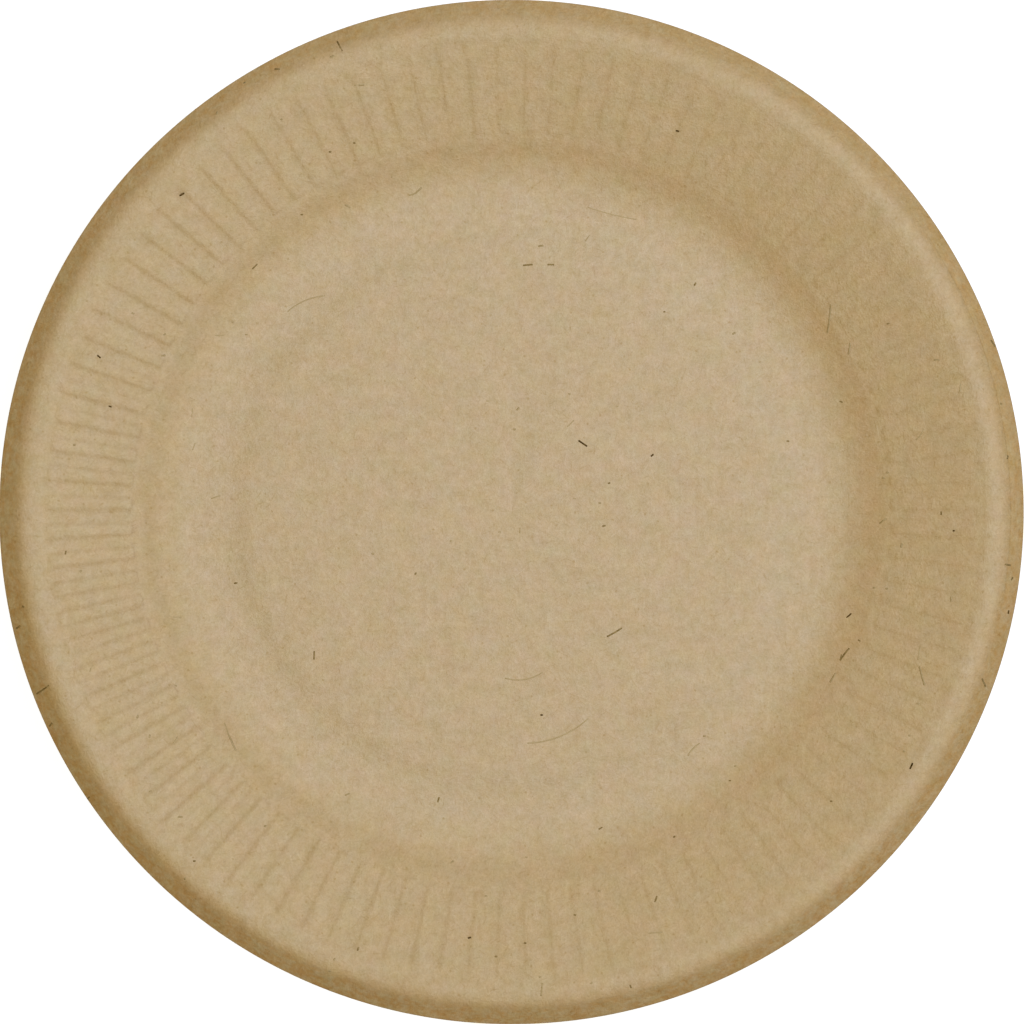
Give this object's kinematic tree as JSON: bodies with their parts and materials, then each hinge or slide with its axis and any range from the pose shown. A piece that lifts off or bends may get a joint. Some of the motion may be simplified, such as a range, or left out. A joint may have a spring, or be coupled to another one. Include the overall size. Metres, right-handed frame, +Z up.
{
  "type": "compostable plate",
  "caption": "Round moulded-fibre disposable plate with a shallow well, a raised flat centre, a ribbed sloping rim and a turned-down lip, for serving food.",
  "frame": {"origin": "on the plate's axis, at the level of the base ring that it stands on", "axes": "+Z up along the plate's axis; +X runs between two ribs, and the ribs repeat round the axis"},
  "size_m": [0.178, 0.178, 0.0153],
  "materials": {
    "moulded_fibre": "matte unbleached plant fibre, mottled, with dark flecks and loose hairs"
  },
  "bodies": {
    "root": {"plate": "moulded_fibre"}
  },
  "joints": []
}
